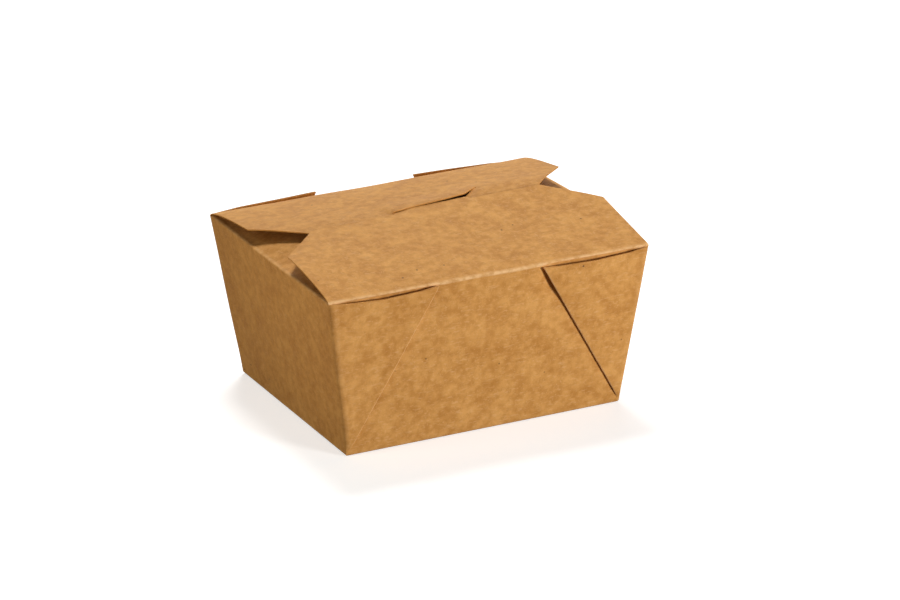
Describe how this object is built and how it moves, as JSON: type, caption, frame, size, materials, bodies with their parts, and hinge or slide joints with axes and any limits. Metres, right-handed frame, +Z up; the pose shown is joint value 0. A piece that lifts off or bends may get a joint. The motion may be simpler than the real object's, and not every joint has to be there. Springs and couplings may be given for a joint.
{
  "type": "takeaway box",
  "caption": "Folded kraft board food box with leaning walls, web corners and a roof of two interlocked lid flaps, the front one hinged at its fold.",
  "frame": {"origin": "middle of the underside of the box, on the surface that it stands on", "axes": "+X along the long front wall, +Y from the front wall to the back wall, +Z up"},
  "size_m": [0.1314, 0.1089, 0.0727],
  "materials": {
    "kraft_board": "matte, mottled brown kraft board"
  },
  "bodies": {
    "carton": {"carton": "kraft_board"},
    "front_flap": {"front_flap": "kraft_board"}
  },
  "joints": [
    {"name": "front_flap_fold", "type": "hinge", "parent": "carton", "child": "front_flap", "pos_m": [0, -0.05337, 0.064], "axis": [1, 0, 0], "range_deg": [0, 200]}
  ]
}
